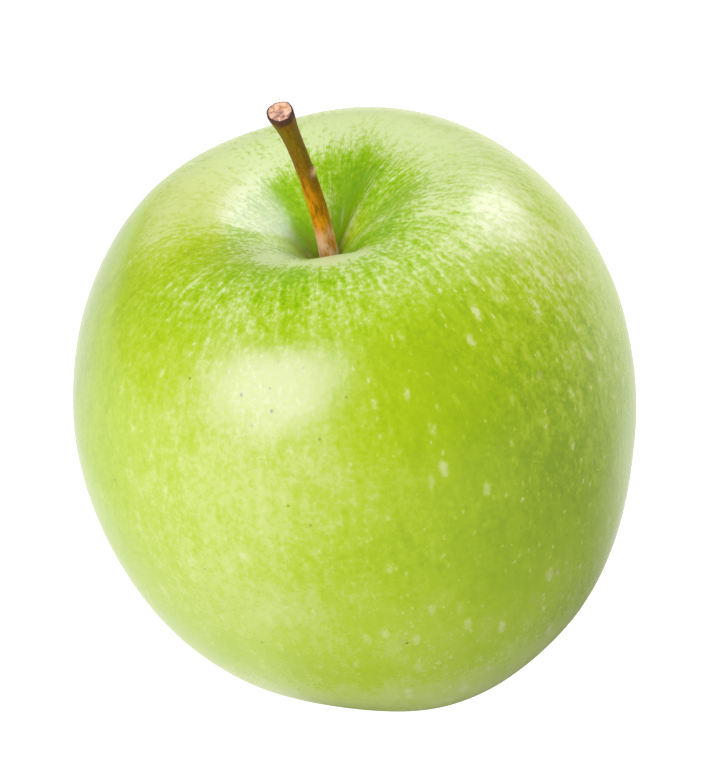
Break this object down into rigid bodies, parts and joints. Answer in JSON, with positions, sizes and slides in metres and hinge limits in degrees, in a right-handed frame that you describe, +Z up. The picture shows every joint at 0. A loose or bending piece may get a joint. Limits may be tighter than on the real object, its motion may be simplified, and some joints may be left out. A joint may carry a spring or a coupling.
{
  "type": "green apple",
  "caption": "Whole green apple with a leaning woody stem, a funnel-shaped stem cavity and a dried calyx, standing on its base lobes.",
  "frame": {"origin": "on the surface the apple stands on, under the middle of its outline", "axes": "+Z up, square to the surface the apple stands on; the stem leans to -X and a little to -Y"},
  "size_m": [0.0784, 0.0778, 0.0917],
  "materials": {
    "skin": "satin",
    "stem_wood": "matte",
    "dry_sepal": "matte",
    "dry_stamen": "matte"
  },
  "bodies": {
    "root": {"fruit": "skin", "stem": "stem_wood", "sepal_1": "dry_sepal", "sepal_2": "dry_sepal", "sepal_3": "dry_sepal", "sepal_4": "dry_sepal", "sepal_5": "dry_sepal", "stamen_tuft": "dry_stamen"}
  },
  "joints": []
}
